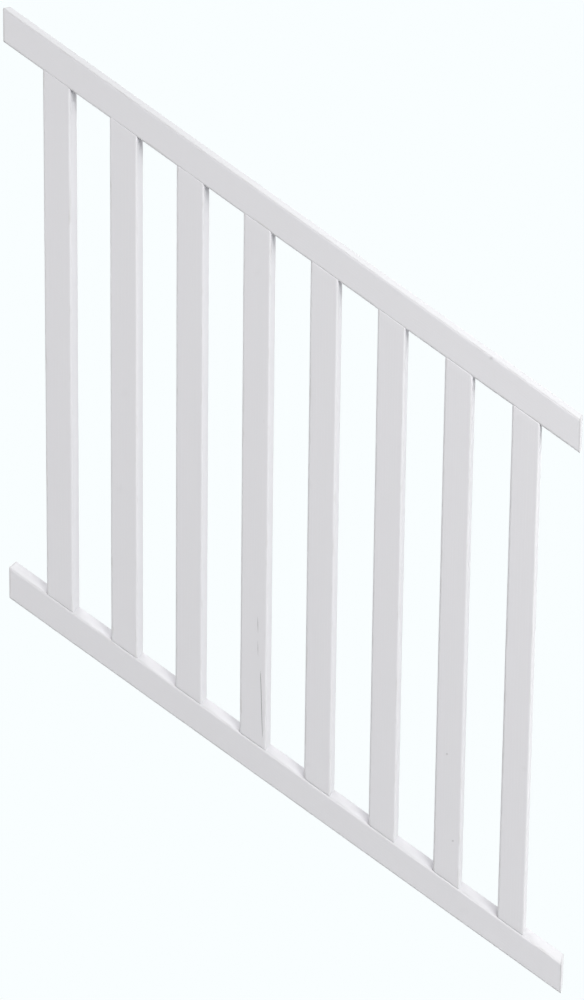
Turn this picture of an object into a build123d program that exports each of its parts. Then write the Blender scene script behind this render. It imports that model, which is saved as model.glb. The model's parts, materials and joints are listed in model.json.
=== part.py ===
"""Stair railing panel: two raked timber rails, with square plumb balusters tenoned between them.

The panel stands in the XZ plane. X runs level from the upper post to the lower one, Y goes through
the panel's depth, and Z is up. The origin is the centre of the bottom rail's upper end face, and a
raked edge drops below its height at x = 0 as the stair does. All lengths are in millimetres.
"""

import os
from math import atan2, cos, sin, tan

from build123d import *

# The stair that the panel follows, which sets its slope
stair_rise = 180.0
stair_going = 270.0

# The panel's layout
baluster_count = 8
clear_gap = 54.0  # from baluster to baluster, and from the outer ones to the posts
clear_height = 726.0  # plumb, from the bottom rail's top to the top rail's underside

# Sections of the timber
baluster_width = 38.0
baluster_depth = 38.0
rail_thickness = 38.0  # square to the slope
rail_depth = 38.0
edge_radius = 3.0

# Stub tenons on the balusters, in line with them, and the blind mortises that take them
tenon_width = 20.0
tenon_depth = 20.0
tenon_length = 18.0  # plumb
mortise_side_clearance = 0.2
mortise_end_clearance = 1.5

# Sizes that follow from those above
slope = atan2(stair_rise, stair_going)
pitch = baluster_width + clear_gap
panel_run = baluster_count * pitch + clear_gap
rail_plumb_height = rail_thickness / cos(slope)
bottom_rail_top = rail_plumb_height / 2
top_rail_underside = bottom_rail_top + clear_height
mortise_width = tenon_width + 2 * mortise_side_clearance
mortise_depth = tenon_depth + 2 * mortise_side_clearance
mortise_length = tenon_length + mortise_end_clearance
rail_axis = Axis((0, 0, 0), (cos(slope), 0, -sin(slope)))


def baluster_left(number):
    """Where the numbered baluster's left side stands, counted from 1 at the upper post."""
    return clear_gap + (number - 1) * pitch


def raked_face(left, right, low, high):
    """Face in the XZ plane with plumb sides, and raked edges whose heights at x = 0 are given."""
    left_drop, right_drop = left * tan(slope), right * tan(slope)
    with BuildSketch(Plane.XZ) as outline:
        with BuildLine():
            Polyline(
                (left, low - left_drop),
                (right, low - right_drop),
                (right, high - right_drop),
                (left, high - left_drop),
                close=True,
            )
        make_face()
    return outline.sketch


def raked_rail(name, underside, mortise_low):
    """Rail with plumb-cut ends, eased along its length, and a mortise for each baluster."""
    with BuildPart() as rail:
        extrude(
            raked_face(0, panel_run, underside, underside + rail_plumb_height),
            amount=rail_depth / 2,
            both=True,
        )
        fillet(rail.edges().filter_by(rail_axis), edge_radius)
        for number in range(1, baluster_count + 1):
            middle = baluster_left(number) + baluster_width / 2
            extrude(
                raked_face(
                    middle - mortise_width / 2,
                    middle + mortise_width / 2,
                    mortise_low,
                    mortise_low + mortise_length,
                ),
                amount=mortise_depth / 2,
                both=True,
                mode=Mode.SUBTRACT,
            )
    rail.part.label = name
    return rail.part


def plumb_baluster(name, number):
    """Square baluster, eased along its length, cut to the slope at its shoulders, with its tenons."""
    left = baluster_left(number)
    middle = left + baluster_width / 2
    with BuildPart() as baluster:
        extrude(
            raked_face(left, left + baluster_width, bottom_rail_top, top_rail_underside),
            amount=baluster_depth / 2,
            both=True,
        )
        fillet(baluster.edges().filter_by(Axis.Z), edge_radius)
        extrude(
            raked_face(
                middle - tenon_width / 2,
                middle + tenon_width / 2,
                bottom_rail_top - tenon_length,
                top_rail_underside + tenon_length,
            ),
            amount=tenon_depth / 2,
            both=True,
        )
    baluster.part.label = name
    return baluster.part


os.makedirs("parts", exist_ok=True)

bottom_rail = raked_rail(
    "bottom_rail",
    underside=bottom_rail_top - rail_plumb_height,
    mortise_low=bottom_rail_top - mortise_length,
)
export_step(bottom_rail, "parts/bottom_rail.step")

top_rail = raked_rail("top_rail", underside=top_rail_underside, mortise_low=top_rail_underside)
export_step(top_rail, "parts/top_rail.step")

for number in range(1, baluster_count + 1):
    baluster = plumb_baluster(f"baluster_{number}", number)
    export_step(baluster, f"parts/baluster_{number}.step")
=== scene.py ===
"""Looks of a white-painted timber stair railing panel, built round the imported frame.

The rails and balusters are new surfaces on the frame's own sizes: planed softwood with eased
arrises, under brushed satin paint that shows a little of the grain, and one open check. Lengths
are in metres. X runs level down the stair, Y goes through the panel and Z is up.
"""
import json
from math import atan, cos, pi, radians, sin

import bpy
import numpy as np
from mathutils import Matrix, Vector


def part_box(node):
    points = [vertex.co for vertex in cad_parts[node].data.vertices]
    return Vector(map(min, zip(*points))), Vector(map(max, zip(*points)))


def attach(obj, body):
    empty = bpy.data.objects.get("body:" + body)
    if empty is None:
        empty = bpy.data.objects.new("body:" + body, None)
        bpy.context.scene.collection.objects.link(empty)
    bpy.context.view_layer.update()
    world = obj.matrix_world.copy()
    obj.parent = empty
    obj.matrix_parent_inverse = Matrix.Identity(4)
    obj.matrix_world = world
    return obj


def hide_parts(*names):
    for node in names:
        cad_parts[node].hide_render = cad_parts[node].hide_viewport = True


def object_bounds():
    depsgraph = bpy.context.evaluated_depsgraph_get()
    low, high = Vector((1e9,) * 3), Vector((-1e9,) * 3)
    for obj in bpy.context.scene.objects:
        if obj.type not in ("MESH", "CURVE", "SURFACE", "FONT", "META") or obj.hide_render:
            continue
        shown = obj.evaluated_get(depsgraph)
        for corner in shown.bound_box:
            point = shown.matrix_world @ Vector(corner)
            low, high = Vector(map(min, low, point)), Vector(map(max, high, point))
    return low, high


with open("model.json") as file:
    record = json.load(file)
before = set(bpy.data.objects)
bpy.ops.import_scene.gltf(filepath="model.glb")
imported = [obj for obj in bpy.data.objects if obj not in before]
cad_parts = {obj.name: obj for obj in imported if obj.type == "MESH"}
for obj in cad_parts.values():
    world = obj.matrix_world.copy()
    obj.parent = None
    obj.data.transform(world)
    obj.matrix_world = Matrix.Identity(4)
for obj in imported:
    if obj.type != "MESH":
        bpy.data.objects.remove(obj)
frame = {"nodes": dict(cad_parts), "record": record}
cad_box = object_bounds()


# The camera
# It stands to the right of the panel and a little above it, with a long lens. Its place and
# turn are those from which the rails and balusters fall on the lines of the photograph.
camera_place = (1.02283, -3.64029, 0.96244)
camera_turn = (77.368, -0.6691, 9.8987)
focal_length = 99.203
sensor_width = 36.0

camera_data = bpy.data.cameras.new("camera")
camera_data.lens = focal_length
camera_data.sensor_width = sensor_width
camera = bpy.data.objects.new("camera", camera_data)
camera.location = camera_place
camera.rotation_euler = [radians(angle) for angle in camera_turn]
bpy.context.collection.objects.link(camera)
bpy.context.scene.camera = camera
bpy.context.scene.view_settings.view_transform = "Standard"


# The studio
# White cloth lights the panel from all round, less from below. Soft lamps in front light the
# faces, those at the right the sides, and those behind the rails' tops. The pale floor lies far
# below, fades out, and doesn't show from underneath.
tent_colour = (1.0, 1.0, 1.0, 1.0)
tent_above = 0.27
tent_below = 0.12
tent_blend = 0.35
backdrop_colour = (0.947, 0.991, 1.0, 1.0)
# Each lamp's turn from the front towards the right and its climb, both in degrees, then its
# distance and width in metres and its power in watts
soft_lamps = [
    ("front_lamp", 35, 20, 4.0, 2.0, 70.5),
    ("front_right_lamp", 60, 8, 4.0, 2.0, 53.0),
    ("right_lamp", 90, -4, 4.0, 2.0, 25.0),
    ("back_right_lamp", 120, 12, 4.0, 2.0, 27.0),
    ("back_lamp", 165, 20, 4.0, 2.0, 8.8),
    ("back_left_lamp", -150, 38, 4.0, 2.0, 112.0),
    ("left_lamp", -60, 8, 2.4, 1.2, 16.5),
]
floor_drop = 0.70
floor_radius = 1.45
floor_even_radius = 0.6
floor_corners = 96
floor_colour = (0.78, 0.79, 0.80, 1.0)
floor_roughness = 0.8


def add_node(tree, kind, **settings):
    """New node of the given kind in a tree, with its settings."""
    node = tree.nodes.new(kind)
    for name, value in settings.items():
        setattr(node, name, value)
    return node


def seen_or_mirrored(tree):
    """Socket that is 1 on a ray from the camera, and on what gloss or glass makes of it."""
    path = add_node(tree, "ShaderNodeLightPath")
    seen_or_glossy = add_node(tree, "ShaderNodeMath", operation="MAXIMUM")
    any_of_them = add_node(tree, "ShaderNodeMath", operation="MAXIMUM")
    tree.links.new(path.outputs["Is Camera Ray"], seen_or_glossy.inputs[0])
    tree.links.new(path.outputs["Is Glossy Ray"], seen_or_glossy.inputs[1])
    tree.links.new(seen_or_glossy.outputs[0], any_of_them.inputs[0])
    tree.links.new(path.outputs["Is Transmission Ray"], any_of_them.inputs[1])
    return any_of_them.outputs[0]


world = bpy.data.worlds.new("white_tent")
world.use_nodes = True
tree = world.node_tree
tree.nodes.clear()
tent = add_node(tree, "ShaderNodeBackground")
tent.inputs["Color"].default_value = tent_colour
ray_way = add_node(tree, "ShaderNodeTexCoord")
ray_parts = add_node(tree, "ShaderNodeSeparateXYZ")
tent_tone = add_node(tree, "ShaderNodeMapRange", interpolation_type="SMOOTHSTEP")
tent_tone.inputs["From Min"].default_value = -tent_blend
tent_tone.inputs["From Max"].default_value = tent_blend
tent_tone.inputs["To Min"].default_value = tent_below
tent_tone.inputs["To Max"].default_value = tent_above
tree.links.new(ray_way.outputs["Object"], ray_parts.inputs[0])
tree.links.new(ray_parts.outputs["Z"], tent_tone.inputs["Value"])
tree.links.new(tent_tone.outputs["Result"], tent.inputs["Strength"])
backdrop = add_node(tree, "ShaderNodeBackground")
backdrop.inputs["Color"].default_value = backdrop_colour
tent_or_backdrop = add_node(tree, "ShaderNodeMixShader")
world_out = add_node(tree, "ShaderNodeOutputWorld")
tree.links.new(seen_or_mirrored(tree), tent_or_backdrop.inputs["Fac"])
tree.links.new(tent.outputs[0], tent_or_backdrop.inputs[1])
tree.links.new(backdrop.outputs[0], tent_or_backdrop.inputs[2])
tree.links.new(tent_or_backdrop.outputs[0], world_out.inputs["Surface"])
bpy.context.scene.world = world

panel_low, panel_high = (np.array(corner) for corner in cad_box)
panel_middle = (panel_low + panel_high) / 2
for name, turn, climb, distance, width, power in soft_lamps:
    turn, climb = radians(turn), radians(climb)
    way = np.array((sin(turn) * cos(climb), -cos(turn) * cos(climb), sin(climb)))
    lamp_data = bpy.data.lights.new(name, "AREA")
    lamp_data.shape = "DISK"
    lamp_data.size = width
    lamp_data.energy = power
    lamp = bpy.data.objects.new(name, lamp_data)
    lamp.location = panel_middle + way * distance
    lamp.rotation_euler = Vector(-way).to_track_quat("-Z", "Y").to_euler()
    bpy.context.collection.objects.link(lamp)

floor_middle = (panel_middle[0], panel_middle[1], panel_low[2] - floor_drop)
floor_angles = np.arange(floor_corners) * 2 * pi / floor_corners
floor_rim = np.column_stack([
    floor_middle[0] + floor_radius * np.cos(floor_angles),
    floor_middle[1] + floor_radius * np.sin(floor_angles),
    np.full(floor_corners, floor_middle[2]),
])
floor_mesh = bpy.data.meshes.new("floor")
floor_mesh.from_pydata(floor_rim.tolist(), [], [list(range(floor_corners))])
floor = bpy.data.objects.new("floor", floor_mesh)
bpy.context.collection.objects.link(floor)

floor_material = bpy.data.materials.new("pale_floor")
floor_material.use_nodes = True
tree = floor_material.node_tree
floor_shader = tree.nodes["Principled BSDF"]
floor_shader.inputs["Base Color"].default_value = floor_colour
floor_shader.inputs["Roughness"].default_value = floor_roughness
place = add_node(tree, "ShaderNodeTexCoord")
from_middle = add_node(tree, "ShaderNodeVectorMath", operation="DISTANCE")
from_middle.inputs[1].default_value = floor_middle
fade = add_node(tree, "ShaderNodeMapRange", interpolation_type="SMOOTHSTEP")
fade.inputs["From Min"].default_value = floor_even_radius
fade.inputs["From Max"].default_value = floor_radius
side_seen = add_node(tree, "ShaderNodeNewGeometry")
faded_or_below = add_node(tree, "ShaderNodeMath", operation="MAXIMUM")
see_through = add_node(tree, "ShaderNodeBsdfTransparent")
floor_or_nothing = add_node(tree, "ShaderNodeMixShader")
tree.links.new(place.outputs["Object"], from_middle.inputs[0])
tree.links.new(from_middle.outputs["Value"], fade.inputs["Value"])
tree.links.new(fade.outputs["Result"], faded_or_below.inputs[0])
tree.links.new(side_seen.outputs["Backfacing"], faded_or_below.inputs[1])
tree.links.new(faded_or_below.outputs[0], floor_or_nothing.inputs["Fac"])
tree.links.new(floor_shader.outputs[0], floor_or_nothing.inputs[1])
tree.links.new(see_through.outputs[0], floor_or_nothing.inputs[2])
tree.links.new(floor_or_nothing.outputs[0], tree.nodes["Material Output"].inputs["Surface"])
floor_mesh.materials.append(floor_material)


# The rails
# Two square lengths of planed softwood, plumb cut where they meet the posts, eased by hand along
# the arrises and round the sawn ends, and painted on all sides. Painted shade lies on the bottom
# rail uphill of each baluster and on the lower arrises of both, the paint is darkened near the
# sawn ends, and the top rail has a ding.
side_count = 4
arris_radius = 0.003
arris_unevenness = 0.10
arris_steps = 10
flat_steps = 10
# Share of a flat's width from each arris to the nearest point, which keeps the flat from rounding
flat_holding_line = 0.012
# On a flat, a point's facing has at least this share in the flat's own direction
nearly_flat = 0.999
station_spacing = 0.010
# Places along a member are rounded to this many decimals, and count as equal within one step
place_decimals = 6
rounding = 10.0 ** -place_decimals
tenth_of_millimetre = 0.0001
planing_depth = 0.00008
planing_lengths = (0.31, 0.17, 0.083)
fade_of_arris = 0.0015
# How far the pith lies from the middle of a section, in each direction across it
pith_range = (0.03, 0.06)
# Distance from a sawn end, the depth eased off there, and the share of darkening laid on there
sawn_end = np.array([
    (0, 0.00025, 0), (0.0002, 0.0001, 0.6), (0.0005, 0, 1.1), (0.0012, 0, 1.1), (0.0019, 0, 0.4),
    (0.0028, 0, 0),
])
# Distances uphill of a baluster at which the rail has a station, to carry the painted shade that lies
# there
uphill_shade_stations = tenth_of_millimetre * np.array((0, 6, 14, 26, 45, 70))
# Painted shade on the bottom rail uphill of each baluster and its reach, then painted shade on the
# lower arrises
uphill_shade_strength = 1.8
uphill_shade_reach = 0.0025
lower_arris_shade_strength = 0.6
ding_place = np.array((0.6678, -0.0187, 0.34625))
ding_depth = 0.0004
ding_reach = 0.0016
# Distances from the ding at which the rail has a station
ding_stations = np.linspace(-0.005, 0.005, 17)
ding_smudge_reach = 0.0045
ding_smudge_strength = 0.33
top_rail_seed = 1
bottom_rail_seed = 2

ends = {mount["name"]: np.array(mount["pos_m"]) for mount in frame["record"]["mounts"]}
run = ends["bottom_rail_lower_end"][0] - ends["bottom_rail_upper_end"][0]
drop = ends["bottom_rail_upper_end"][2] - ends["bottom_rail_lower_end"][2]
fall = drop / run
slope = atan(fall)
baluster_nodes = sorted(node for node in frame["nodes"] if node.startswith("baluster"))
uphill_sides = np.array([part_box(node)[0][0] for node in baluster_nodes])


def flat_shares(steps):
    """Places along a flat, as shares of its width, with one close to each arris."""
    even = np.linspace(0, 1, steps + 1)[1:-1]
    return np.concatenate([[flat_holding_line], even, [1 - flat_holding_line]])


def eased_section(shares_of_flats):
    """Outline of an eased square section: the corner that each point hangs on, and its facing.

    A point lies at corner * (half size - arris radius) + facing * arris radius. Round an arris
    the corner stays and the facing swings through a right angle. Along a flat the facing stays,
    and the corner slides to the next one by that flat's shares.
    """
    swing = np.linspace(0, pi / 2, arris_steps + 1)
    signs = np.array([(1, 1), (-1, 1), (-1, -1), (1, -1)], float)
    corners, facings = [], []
    for turn, shares in enumerate(shares_of_flats):
        here, following = signs[turn], signs[(turn + 1) % len(signs)]
        angles = swing + turn * pi / 2
        round_arris = np.column_stack([np.cos(angles), np.sin(angles)])
        corners += [np.tile(here, (len(angles), 1)), here + np.outer(shares, following - here)]
        facings += [round_arris, np.tile(round_arris[-1], (len(shares), 1))]
    return np.concatenate(corners), np.concatenate(facings)


def planed_surface(half_sizes, corners, facings, along, seed, dents=0.0):
    """Offsets from a member's centre line, for each station along it and each outline point.

    The corners may differ from station to station. The arris radius and the depth planed off
    each follow a sum of sines of the distance along, and the depth's phases turn with the
    facing. Dents are further depths taken off, and nothing reaches outside the plain section.
    """
    chance = np.random.default_rng(seed)
    waves = 2 * pi / np.array(planing_lengths)
    phases = chance.uniform(0, 2 * pi, (2, len(waves)))
    turned = np.arctan2(facings[:, 1], facings[:, 0])
    distance = along[:, None]
    ripple = sum(np.sin(distance * wave + phase) for wave, phase in zip(waves, phases[0]))
    hollow = sum(
        np.sin(distance * wave + phase + turned[None, :]) for wave, phase in zip(waves, phases[1])
    )
    radius = arris_radius * (1 + arris_unevenness * ripple / len(waves))
    out_from_corner = radius - planing_depth * (1 + hollow / len(waves)) - dents
    across = corners[..., 0] * (half_sizes[0] - radius) + facings[:, 0] * out_from_corner
    upward = corners[..., 1] * (half_sizes[1] - radius) + facings[:, 1] * out_from_corner
    return across, upward


def arris_nearness(half_sizes, corners):
    """1 on an arris, falling off exponentially with the distance from it across a flat."""
    inset = (1 - np.abs(corners)) * (np.array(half_sizes) - arris_radius)
    return np.exp(-inset.max(axis=1) / fade_of_arris)


def timber_piece(name, points, timber, marks, material):
    """Closed piece from a grid of points: stations along the member by points round its section.

    Neighbouring stations are joined by quads, and each end is closed by one flat face. The
    timber grid holds each point's place in the member's own section and length, and marks are
    the named numbers that the material reads.
    """
    stations, around = points.shape[:2]
    index = np.arange(stations * around).reshape(stations, around)
    following = np.roll(index, -1, axis=1)
    quads = np.stack([index[:-1], following[:-1], following[1:], index[1:]], axis=-1)
    faces = quads.reshape(-1, 4).tolist() + [index[0, ::-1].tolist(), index[-1].tolist()]
    mesh = bpy.data.meshes.new(name)
    mesh.from_pydata(points.reshape(-1, 3).tolist(), [], faces)
    smooth = np.ones(len(faces), bool)
    smooth[-2:] = False
    mesh.polygons.foreach_set("use_smooth", smooth)
    edge_ends = np.empty(2 * len(mesh.edges), int)
    mesh.edges.foreach_get("vertices", edge_ends)
    edge_stations = edge_ends.reshape(-1, 2) // around
    rim = (edge_stations == 0).all(axis=1) | (edge_stations == stations - 1).all(axis=1)
    mesh.attributes.new("sharp_edge", "BOOLEAN", "EDGE").data.foreach_set("value", rim)
    own_place = mesh.attributes.new("timber", "FLOAT_VECTOR", "POINT")
    own_place.data.foreach_set("vector", timber.reshape(-1).astype(np.float32))
    for label, values in marks.items():
        grid = np.broadcast_to(values, (stations, around)).reshape(-1).astype(np.float32)
        mesh.attributes.new(label, "FLOAT", "POINT").data.foreach_set("value", grid)
    mesh.materials.append(material)
    mesh.validate()
    piece = bpy.data.objects.new(name, mesh)
    bpy.context.collection.objects.link(piece)
    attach(piece, "root")
    return piece


def effect(name, inputs, outputs):
    """New node group for materials to share, with its named inputs and outputs."""
    group = bpy.data.node_groups.new(name, "ShaderNodeTree")
    for label, kind, value in inputs:
        socket = group.interface.new_socket(label, in_out="INPUT", socket_type="NodeSocket" + kind)
        socket.default_value = value
    for label, kind in outputs:
        group.interface.new_socket(label, in_out="OUTPUT", socket_type="NodeSocket" + kind)
    return group, add_node(group, "NodeGroupInput"), add_node(group, "NodeGroupOutput")


def feed(tree, slot, value):
    """Links an input to another socket, or sets it to a plain value."""
    if isinstance(value, bpy.types.NodeSocket):
        tree.links.new(value, slot)
    else:
        slot.default_value = value


def reckon(tree, operation, *values, clamp=False):
    """Socket with a sum, product or the like of numbers and other sockets."""
    node = add_node(tree, "ShaderNodeMath", operation=operation, use_clamp=clamp)
    for slot, value in zip(node.inputs, values):
        feed(tree, slot, value)
    return node.outputs[0]


def stretched_noise(tree, vector, width, length, detail):
    """Socket with noise whose grains are so wide across the timber and so long along it."""
    squeeze = add_node(tree, "ShaderNodeCombineXYZ")
    across, along = reckon(tree, "DIVIDE", 1.0, width), reckon(tree, "DIVIDE", 1.0, length)
    tree.links.new(across, squeeze.inputs["X"])
    tree.links.new(across, squeeze.inputs["Y"])
    tree.links.new(along, squeeze.inputs["Z"])
    scaled = add_node(tree, "ShaderNodeVectorMath", operation="MULTIPLY")
    tree.links.new(vector, scaled.inputs[0])
    tree.links.new(squeeze.outputs[0], scaled.inputs[1])
    noise = add_node(tree, "ShaderNodeTexNoise")
    noise.inputs["Scale"].default_value = 1.0
    noise.inputs["Detail"].default_value = detail
    tree.links.new(scaled.outputs[0], noise.inputs["Vector"])
    return noise.outputs["Fac"]


# Brush marks are long fine streaks along the timber, noise drawn out to their width and length.
brush_detail = 3.0
brush_marks, given, out = effect(
    "brush_marks",
    [("Timber", "Vector", (0, 0, 0)), ("Width", "Float", 0.001), ("Length", "Float", 0.05)],
    [("Streaks", "Float")],
)
sizes_given = (given.outputs["Width"], given.outputs["Length"])
streaks = stretched_noise(brush_marks, given.outputs["Timber"], *sizes_given, brush_detail)
brush_marks.links.new(streaks, out.inputs["Streaks"])

# Growth rings are rings round the pith, warped by slow noise, each with a sharp late edge.
warp_width = 0.03
warp_length = 0.25
warp_detail = 1.0
late_wood_sharpness = 3.0
growth_rings, given, out = effect(
    "growth_rings",
    [("Timber", "Vector", (0, 0, 0)), ("Spacing", "Float", 0.003), ("Warp", "Float", 0.004)],
    [("Late Wood", "Float")],
)
own_timber = given.outputs["Timber"]
section = add_node(growth_rings, "ShaderNodeVectorMath", operation="MULTIPLY")
section.inputs[1].default_value = (1, 1, 0)
growth_rings.links.new(own_timber, section.inputs[0])
from_pith = add_node(growth_rings, "ShaderNodeVectorMath", operation="LENGTH")
growth_rings.links.new(section.outputs[0], from_pith.inputs[0])
slow_noise = stretched_noise(growth_rings, own_timber, warp_width, warp_length, warp_detail)
warp = reckon(growth_rings, "MULTIPLY", slow_noise, given.outputs["Warp"])
warped = reckon(growth_rings, "ADD", from_pith.outputs["Value"], warp)
rings_out = reckon(growth_rings, "DIVIDE", warped, given.outputs["Spacing"])
share_of_year = reckon(growth_rings, "FRACT", rings_out)
late_wood = reckon(growth_rings, "POWER", share_of_year, late_wood_sharpness)
growth_rings.links.new(late_wood, out.inputs["Late Wood"])

# Wear thins the paint on the arrises in short lengths, where noise along them runs high.
rubbing_width = 0.006
rubbing_length = 0.03
rubbing_detail = 2.0
wear_limit = 1.0
wear_contrast = 4.0
arris_wear, given, out = effect(
    "arris_wear",
    [("Timber", "Vector", (0, 0, 0)), ("Arris", "Float", 0.0), ("Amount", "Float", 0.5)],
    [("Thin Paint", "Float")],
)
own_timber = given.outputs["Timber"]
rubbing = stretched_noise(arris_wear, own_timber, rubbing_width, rubbing_length, rubbing_detail)
reached = reckon(arris_wear, "MULTIPLY", given.outputs["Arris"], given.outputs["Amount"])
rubbed_away = reckon(arris_wear, "ADD", rubbing, reached)
above_limit = reckon(arris_wear, "SUBTRACT", rubbed_away, wear_limit)
thin_paint = reckon(arris_wear, "MULTIPLY", above_limit, wear_contrast, clamp=True)
arris_wear.links.new(thin_paint, out.inputs["Thin Paint"])

# A smudge is a soft round mark about a place on the panel, strongest in its middle.
smudge_falloff = 1.5
smudge, given, out = effect(
    "smudge",
    [("Place", "Vector", (0, 0, 0)), ("Reach", "Float", 0.005), ("Strength", "Float", 0.2)],
    [("Mark", "Float")],
)
spot = add_node(smudge, "ShaderNodeTexCoord")
apart = add_node(smudge, "ShaderNodeVectorMath", operation="DISTANCE")
smudge.links.new(spot.outputs["Object"], apart.inputs[0])
smudge.links.new(given.outputs["Place"], apart.inputs[1])
share_of_reach = reckon(smudge, "DIVIDE", apart.outputs["Value"], given.outputs["Reach"])
share_left = reckon(smudge, "SUBTRACT", 1.0, share_of_reach, clamp=True)
near = reckon(smudge, "POWER", share_left, smudge_falloff)
smudge.links.new(reckon(smudge, "MULTIPLY", near, given.outputs["Strength"]), out.inputs["Mark"])

paint_colour = (0.775, 0.769, 0.793, 1.0)
paint_tone_swing = 0.03
thin_paint_colour = (0.67, 0.66, 0.665, 1.0)
dirt_colour = (0.16, 0.15, 0.14, 1.0)
# Colour and strength of the painted shade, which also darkens the rails near their sawn ends
shade_and_end_darkening_colour = (0.30, 0.29, 0.28, 1.0)
shade_and_end_darkening_strength = 0.25
# Inside the check: its bare timber, darkened near black by painted shade of its depth
check_timber_and_shade_colour = (0.05, 0.045, 0.04, 1.0)
# Roughness between the brush marks and on them
paint_roughness = (0.36, 0.50)
brush_width = 0.0011
brush_length = 0.07
slow_tone_width = 0.02
slow_tone_length = 0.15
ring_spacing = 0.0032
wear_amount = 0.45
relief_height = 0.00006
ring_share_of_relief = 0.45
# The Mix node's sockets for colours, which share their names with its other ones
mix_inputs = (6, 7)
mix_output = 2


def painted_timber(name, smudges):
    """Brushed satin paint over softwood, with the dirt marks that this member carries."""
    material = bpy.data.materials.new(name)
    material.use_nodes = True
    tree = material.node_tree
    shader = tree.nodes["Principled BSDF"]
    timber = add_node(tree, "ShaderNodeAttribute", attribute_name="timber").outputs["Vector"]
    arris, check, painted_shade_and_end_darkening = (
        add_node(tree, "ShaderNodeAttribute", attribute_name=mark).outputs["Fac"]
        for mark in ("arris", "check", "painted_shade_and_end_darkening")
    )

    def placed(group, **values):
        """What an effect puts out, with the values that this material gives it."""
        node = add_node(tree, "ShaderNodeGroup", node_tree=group)
        for label, value in values.items():
            feed(tree, node.inputs[label], value)
        return node.outputs[0]

    def mixed(below, above, mask):
        """One colour laid over another, as far as a mask says."""
        node = add_node(tree, "ShaderNodeMix", data_type="RGBA")
        tree.links.new(mask, node.inputs["Factor"])
        for number, colour in zip(mix_inputs, (below, above)):
            feed(tree, node.inputs[number], colour)
        return node.outputs[mix_output]

    streaks = placed(brush_marks, Timber=timber, Width=brush_width, Length=brush_length)
    slow_tone = placed(brush_marks, Timber=timber, Width=slow_tone_width, Length=slow_tone_length)
    rings = placed(growth_rings, Timber=timber, Spacing=ring_spacing)
    worn = placed(arris_wear, Timber=timber, Arris=arris, Amount=wear_amount)
    darker_paint = tuple(part * (1 - paint_tone_swing) for part in paint_colour[:3]) + (1.0,)
    mean_of_both = reckon(tree, "MULTIPLY", reckon(tree, "ADD", streaks, slow_tone), 0.5)
    colour = mixed(paint_colour, darker_paint, mean_of_both)
    colour = mixed(colour, thin_paint_colour, worn)
    # Painted shade, and darkening near the sawn ends, varied by the slow tone
    # The slow tone is a half on average, so twice the strength lays on the strength itself
    uneven_strength = reckon(tree, "MULTIPLY", slow_tone, 2 * shade_and_end_darkening_strength)
    colour = mixed(colour, shade_and_end_darkening_colour, reckon(tree, "MULTIPLY", painted_shade_and_end_darkening, uneven_strength))
    for where, reach, strength in smudges:
        smudged = placed(smudge, Place=where, Reach=reach, Strength=strength)
        colour = mixed(colour, dirt_colour, smudged)
    # The check is coloured near black: bare timber and painted shade
    colour = mixed(colour, check_timber_and_shade_colour, check)
    tree.links.new(colour, shader.inputs["Base Color"])

    roughness = add_node(tree, "ShaderNodeMapRange")
    roughness.inputs["To Min"].default_value = paint_roughness[0]
    roughness.inputs["To Max"].default_value = paint_roughness[1]
    tree.links.new(streaks, roughness.inputs["Value"])
    tree.links.new(roughness.outputs["Result"], shader.inputs["Roughness"])

    grain = reckon(tree, "MULTIPLY", rings, ring_share_of_relief)
    bump = add_node(tree, "ShaderNodeBump")
    bump.inputs["Distance"].default_value = relief_height
    tree.links.new(reckon(tree, "ADD", streaks, grain), bump.inputs["Height"])
    tree.links.new(bump.outputs["Normal"], shader.inputs["Normal"])
    return material


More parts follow.
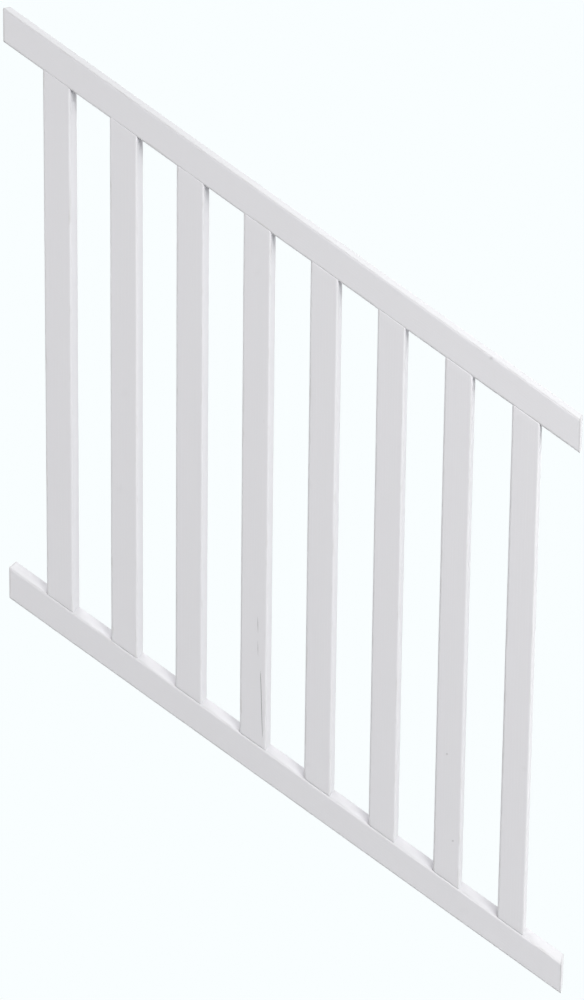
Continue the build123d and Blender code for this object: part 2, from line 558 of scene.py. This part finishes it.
def rail_piece(node, seed, material, painted_shade=0.0, dinged=False):
    """Rail over the node's own place: its section carried down the slope at level stations.

    On its upward flat, painted shade fades out exponentially with the distance uphill of a baluster.
    On its lower arrises, painted shade follows the square of the sine of twice the angle round the
    arris.
    """
    low, high = (np.array(corner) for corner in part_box(node))
    plumb_height = high[2] - low[2] - drop
    half_sizes = ((high[1] - low[1]) / 2, plumb_height * cos(slope) / 2)
    corners, facings = eased_section([flat_shares(flat_steps)] * side_count)
    stations = np.concatenate([
        np.linspace(0, run, round(run / station_spacing) + 1),
        sawn_end[:, 0],
        run - sawn_end[:, 0],
        (uphill_sides[:, None] - uphill_shade_stations).ravel(),
        ding_place[0] + ding_stations,
    ])
    stations = np.unique(stations.round(place_decimals))
    from_end = np.minimum(stations, run - stations)
    eased = np.interp(from_end, sawn_end[:, 0], sawn_end[:, 1])[:, None]
    end_darkening = np.interp(from_end, sawn_end[:, 0], sawn_end[:, 2])[:, None]

    def placed_points(dents):
        """Points in the panel, and the same points in the rail's own section and length."""
        lengths = stations / cos(slope)
        across, upward = planed_surface(half_sizes, corners, facings, lengths, seed, dents)
        level = np.broadcast_to(stations[:, None], across.shape)
        middle_line = high[2] - plumb_height / 2 - fall * level
        points = np.stack([level, across, middle_line + upward / cos(slope)], axis=-1)
        return points, np.stack([across, upward, level / cos(slope)], axis=-1)

    points, own = placed_points(eased)
    if dinged:
        apart = np.linalg.norm(points - ding_place, axis=-1)
        points, own = placed_points(eased + ding_depth * np.exp(-(apart / ding_reach) ** 2))
    pith = np.random.default_rng(seed).uniform(*pith_range, 2)
    timber = own + np.array((pith[0], pith[1], seed))
    uphill = uphill_sides - stations[:, None]
    to_next_baluster = np.where(uphill > -rounding, uphill, run).min(axis=1)
    # Painted shade uphill of each baluster and on the lower arrises, with darkening near the sawn ends
    uphill_shade = painted_shade * np.exp(-to_next_baluster / uphill_shade_reach)[:, None]
    lower_arris_shade = lower_arris_shade_strength * (2 * facings[:, 0] * facings[:, 1]) ** 2 * (facings[:, 1] < 0)
    rail_shade_and_end_darkening = uphill_shade * (facings[:, 1] > nearly_flat) + np.maximum(lower_arris_shade, end_darkening)
    marks = {"arris": arris_nearness(half_sizes, corners)[None, :], "check": 0.0, "painted_shade_and_end_darkening": rail_shade_and_end_darkening}
    piece = timber_piece(node + "_timber", points, timber, marks, material)
    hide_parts(node)


ding_smudge = (tuple(ding_place), ding_smudge_reach, ding_smudge_strength)
rail_paint = painted_timber("rail_paint", [ding_smudge])
rail_piece("top_rail", top_rail_seed, rail_paint, dinged=True)
rail_piece("bottom_rail", bottom_rail_seed, rail_paint, painted_shade=uphill_shade_strength)


# The balusters
# Eight square lengths of the same softwood, cut to the slope at head and foot and tenoned into
# the rails, with paint bridging the crease under each rail's arris and painted shade in the one at
# the foot, fainter at the head. One baluster has opened in a check that climbs its face along the
# grain, its inside coloured near black: bare timber and painted shade of its depth.

# The foot and head lines fall with the slope from these heights at x = 0
foot_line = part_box("bottom_rail")[1][2]
head_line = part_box("top_rail")[0][2] + drop
clear_height = head_line - foot_line

# Distance up from the foot line, and depth there below the flats, then the same at the head line
foot_crease = tenth_of_millimetre * np.array([
    (-16, 20), (-10, 10), (-5, 8), (0, 7.5), (4, 7), (7, 5.5), (9, 3.2), (12, 1.2), (15, 0.3), (18, 0),
])
head_crease = tenth_of_millimetre * np.array([
    (18, 12), (13, 7), (8, 4), (4, 2), (0, 0.8), (-3, 0.3), (-6, 0),
])
# Painted shade in the creases at foot and head: its height, spread and strength at each
foot_shade_height = 0.0006
crease_shade_spread = 0.0008
crease_shade_at_foot = 0.5
crease_shade_at_head = 0.1

checked_baluster = "baluster_4"
# The face that the check climbs, counted round the section from the back
front_flat = 2
# Heights above the foot line, and how far right of the baluster's middle the check runs there
check_heights = np.array((0.0, 0.010, 0.107, 0.130, 0.149, 0.163, 0.183, 0.25))
check_offsets = np.array((0.0141, 0.0140, 0.0102, 0.0064, 0.0060, 0.0061, 0.0055, 0.0055))
# Each strand's start and stop above the foot line, its half width and its depth
check_strands = (
    (0.016, 0.110, 0.00026, 0.0011),
    (0.128, 0.151, 0.00020, 0.0005),
    (0.161, 0.186, 0.00026, 0.0004),
)
check_taper = 0.010
check_least_width_share = 0.3
check_station_spacing = 0.0015
# Distances from the check at which the face has a column of points
check_columns = tenth_of_millimetre * np.array((-12, -6, -4, -3, -2, -1, 0, 1, 2, 3, 4, 6, 12))
check_dark_depth = 0.00025
first_baluster_seed = 11

# Each mark's place on the panel, its reach and its strength
baluster_marks = [
    ((0.6220, -0.019, -0.2094), 0.0023, 0.48),
    ((0.6332, -0.019, -0.3350), 0.0023, 0.48),
    ((0.1666, -0.019, 0.2768), 0.010, 0.03),
    ((0.1592, -0.019, 0.1428), 0.008, 0.04),
    ((0.3506, -0.019, 0.4502), 0.009, 0.03),
    ((0.4274, -0.019, -0.2382), 0.006, 0.05),
    ((0.7294, -0.019, -0.2232), 0.006, 0.06),
]
baluster_paint = painted_timber("baluster_paint", baluster_marks)


def followed(across_flat, start, centres, inner_half):
    """Places across a flat after its columns slide to follow a line that wanders along it.

    Columns within the groove's reach of start move with the line. The others are spread
    between that band and the flat's two sides in the same proportions as before.
    """
    reach = check_columns[-1]
    left = -inner_half + (across_flat + inner_half) * (centres - reach + inner_half) / (
        start - reach + inner_half
    )
    right = inner_half - (inner_half - across_flat) * (inner_half - centres - reach) / (
        inner_half - start - reach
    )
    beside = np.where(across_flat < start, left, right)
    return np.where(np.abs(across_flat - start) <= reach, across_flat - start + centres, beside)


def baluster_piece(node, seed, material):
    """Baluster over the node's own place: its section carried up from the foot line.

    Painted shade follows a bell curve of the height about the foot crease, and of the distance below
    the head line. The check's depth follows the square root of the distance from its nearer end, up to
    the taper, as its width does down to a least share.
    """
    low, high = (np.array(corner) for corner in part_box(node))
    middle = (low[0] + high[0]) / 2
    half_sizes = ((high[0] - low[0]) / 2, (high[1] - low[1]) / 2)
    flats = [flat_shares(flat_steps)] * side_count
    crease_heights = np.concatenate([foot_crease[:, 0], clear_height + head_crease[::-1, 0]])
    crease_depths = np.concatenate([foot_crease[:, 1], head_crease[::-1, 1]])
    between = np.linspace(0, clear_height, round(clear_height / station_spacing) + 1)[1:-1]
    heights = np.union1d(crease_heights.round(place_decimals), between.round(place_decimals))
    inner_half = half_sizes[0] - arris_radius
    checked = node == checked_baluster
    if checked:
        columns = (check_offsets[0] + check_columns + inner_half) / (2 * inner_half)
        flats[front_flat] = np.sort(np.concatenate([flat_shares(flat_steps), columns]))
        check_top = check_heights[-2] + check_taper
        fine = np.arange(foot_crease[-1, 0], check_top, check_station_spacing)
        heights = np.union1d(heights, fine.round(place_decimals))
    corners, facings = eased_section(flats)
    nearness = arris_nearness(half_sizes, corners)[None, :]
    dents = np.interp(heights, crease_heights, crease_depths)[:, None]
    opened = 0.0
    corners = np.broadcast_to(corners, (len(heights),) + corners.shape).copy()
    if checked:
        front = facings[:, 1] < -nearly_flat
        centres = np.interp(heights, check_heights, check_offsets)[:, None]
        across_flat = corners[:, front, 0] * inner_half
        across_flat = followed(across_flat, check_offsets[0], centres, inner_half)
        corners[:, front, 0] = across_flat / inner_half
        groove = np.zeros(across_flat.shape)
        for start, stop, half_width, depth in check_strands:
            from_end = np.minimum(heights - start, stop - heights)[:, None] / check_taper
            share = np.sqrt(np.clip(from_end, 0, 1))
            reach = half_width * np.maximum(share, check_least_width_share)
            vee = 1 - np.abs(across_flat - centres) / reach
            groove = np.maximum(groove, depth * share * np.clip(vee, 0, 1))
        dents = np.repeat(dents, len(front), axis=1)
        dents[:, front] += groove
        opened = np.zeros(dents.shape)
        opened[:, front] = np.clip(groove / check_dark_depth, 0, 1)
    across, deep = planed_surface(half_sizes, corners, facings, heights, seed, dents)
    x = middle + across
    z = foot_line - fall * x + np.broadcast_to(heights[:, None], across.shape)
    points = np.stack([x, deep, z], axis=-1)
    pith = np.random.default_rng(seed).uniform(*pith_range, 2)
    timber = np.stack([across + pith[0], deep + pith[1], z + seed], axis=-1)
    # Painted shade in the foot and head creases
    painted_shade = crease_shade_at_foot * np.exp(-((heights - foot_shade_height) / crease_shade_spread) ** 2)
    painted_shade += crease_shade_at_head * np.exp(-((clear_height - heights) / crease_shade_spread) ** 2)
    marks = {"arris": nearness, "check": opened, "painted_shade_and_end_darkening": painted_shade[:, None]}
    piece = timber_piece(node + "_timber", points, timber, marks, material)
    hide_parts(node)


for number, node in enumerate(baluster_nodes):
    baluster_piece(node, first_baluster_seed + number, baluster_paint)
